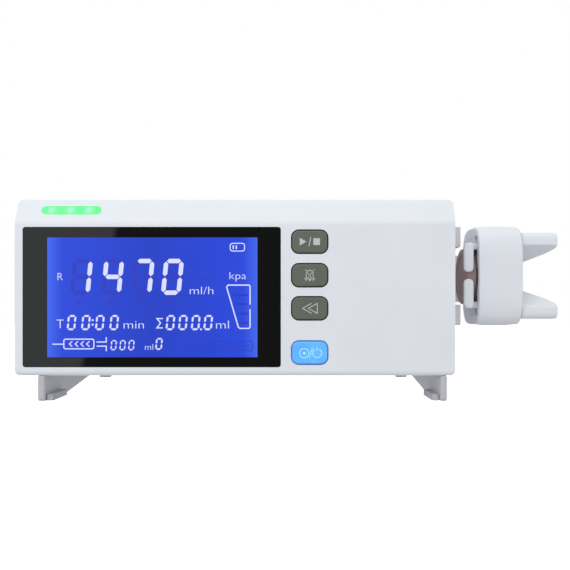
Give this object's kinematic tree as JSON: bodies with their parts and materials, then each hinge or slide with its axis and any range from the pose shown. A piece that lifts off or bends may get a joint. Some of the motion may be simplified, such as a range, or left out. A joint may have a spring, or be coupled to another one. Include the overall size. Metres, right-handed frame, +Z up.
{
  "type": "syringe infusion pump",
  "caption": "Bench syringe pump with a wide display window, front keys, a status light, a top-loading syringe trough and a sliding pusher head with squeeze grips.",
  "frame": {"origin": "on the ground, under the middle of the pump's bounding box with the pusher head home", "axes": "+X to the pusher head (the operator's right), +Y from the front face to the rear, +Z up"},
  "size_m": [0.313, 0.1526, 0.1139],
  "materials": {
    "housing": "fine matt moulded plastic, pale cool grey",
    "housing_rear": "fine matt moulded plastic",
    "foot": "matt moulded plastic",
    "foot_rubber": "matt rubber",
    "window": "polished black panel",
    "lcd": "lit blue display with white segments",
    "diffuser": "white diffuser",
    "pcb": "green laminate",
    "key_grey": "soft-touch membrane key",
    "key_blue": "lit translucent key",
    "lens_green": "lit translucent lens",
    "steel": "brushed",
    "chrome": "polished",
    "brass": "turned",
    "aluminium": "satin",
    "black_plastic": "matt",
    "white_plastic": "natural acetal",
    "boss": "dark matt pressure plate",
    "seal_rubber": "matt rubber",
    "battery": "heat-shrink sleeve",
    "motor": "black enamel"
  },
  "bodies": {
    "pump_body": {"front_shell": "housing", "main_shell": "housing", "rear_cover": "housing_rear", "battery_cover": "housing_rear", "left_foot": "foot", "right_foot": "foot", "foot_pads": "foot_rubber", "display_window": "window", "lcd_panel": "lcd", "lcd_backlight": "diffuser", "lcd_frame": "steel", "main_board": "pcb", "key_board": "pcb", "status_lens": "lens_green", "status_led_board": "pcb", "battery_pack": "battery", "power_supply": "pcb", "mains_inlet": "black_plastic", "inlet_pins": "chrome", "data_port": "black_plastic", "earth_stud": "brass", "speaker": "black_plastic", "stepper_motor": "motor", "screw_bearings": "chrome", "drive_frame": "aluminium", "guide_rods": "chrome", "tube_bush": "white_plastic", "tube_seal": "seal_rubber", "flange_ears": "housing", "clamp_pin": "steel", "clamp_spring": "steel", "cover_screws": "steel", "frame_screws": "steel"},
    "start_key": {"start_key": "key_grey"},
    "mute_key": {"mute_key": "key_grey"},
    "purge_key": {"purge_key": "key_grey"},
    "power_key": {"power_key": "key_blue"},
    "pusher": {"nut_carriage": "aluminium", "half_nut_spring": "steel", "drive_tube": "chrome", "head_housing": "housing", "head_cover": "housing", "pressure_plate": "boss", "load_cell": "aluminium", "grip_pins": "steel", "grip_spring": "steel"},
    "upper_grip": {"upper_grip": "housing"},
    "lower_grip": {"lower_grip": "housing"},
    "release_rod": {"release_rod": "steel"},
    "half_nut": {"half_nut": "brass"},
    "lead_screw": {"lead_screw": "steel", "screw_gear": "white_plastic"},
    "motor_pinion": {"motor_pinion": "brass"},
    "barrel_clamp": {"clamp_arm": "housing", "clamp_pad": "seal_rubber"}
  },
  "joints": [
    {"name": "start_key_press", "type": "slide", "parent": "pump_body", "child": "start_key", "axis": [0, 1, 0], "range_m": [0, 0.0008], "stiffness_N_per_m": 700, "springref_m": -0.0004},
    {"name": "mute_key_press", "type": "slide", "parent": "pump_body", "child": "mute_key", "axis": [0, 1, 0], "range_m": [0, 0.0008], "stiffness_N_per_m": 700, "springref_m": -0.0004},
    {"name": "purge_key_press", "type": "slide", "parent": "pump_body", "child": "purge_key", "axis": [0, 1, 0], "range_m": [0, 0.0008], "stiffness_N_per_m": 700, "springref_m": -0.0004},
    {"name": "power_key_press", "type": "slide", "parent": "pump_body", "child": "power_key", "axis": [0, 1, 0], "range_m": [0, 0.0008], "stiffness_N_per_m": 700, "springref_m": -0.0004},
    {"name": "pusher_slide", "type": "slide", "parent": "pump_body", "child": "pusher", "axis": [1, 0, 0], "range_m": [0, 0.12]},
    {"name": "upper_grip_hinge", "type": "hinge", "parent": "pusher", "child": "upper_grip", "pos_m": [0.1245, -0.0342, 0.086], "axis": [0, 1, 0], "range_deg": [0, 10], "deforming": ["grip_spring"]},
    {"name": "lower_grip_hinge", "type": "hinge", "parent": "pusher", "child": "lower_grip", "pos_m": [0.1245, -0.0342, 0.057], "axis": [0, 1, 0], "range_deg": [-10, 0]},
    {"name": "release_rod_slide", "type": "slide", "parent": "pusher", "child": "release_rod", "axis": [-1, 0, 0], "range_m": [0, 0.0021], "stiffness_N_per_m": 3000, "springref_m": -0.001},
    {"name": "half_nut_slide", "type": "slide", "parent": "pusher", "child": "half_nut", "axis": [0, 0, -1], "range_m": [0, 0.0041], "deforming": ["half_nut_spring"]},
    {"name": "lead_screw_spin", "type": "hinge", "parent": "pump_body", "child": "lead_screw", "pos_m": [-0.0335, 0.0363, 0.0715], "axis": [1, 0, 0], "continuous": true},
    {"name": "motor_spin", "type": "hinge", "parent": "pump_body", "child": "motor_pinion", "pos_m": [-0.1125, 0.0363, 0.0495], "axis": [1, 0, 0], "continuous": true},
    {"name": "barrel_clamp_hinge", "type": "hinge", "parent": "pump_body", "child": "barrel_clamp", "pos_m": [-0.0035, -0.0075, 0.1065], "axis": [-1, 0, 0], "range_deg": [0, 100], "stiffness_Nm_per_rad": 0.03, "springref_deg": -34.38}
  ],
  "couplings": [
    {"joint": "upper_grip_hinge", "follows": "release_rod_slide", "rad_per_m": 83},
    {"joint": "lower_grip_hinge", "follows": "release_rod_slide", "rad_per_m": -83},
    {"joint": "half_nut_slide", "follows": "release_rod_slide", "ratio": 1.91},
    {"joint": "motor_spin", "follows": "lead_screw_spin", "ratio": -2.6667}
  ]
}
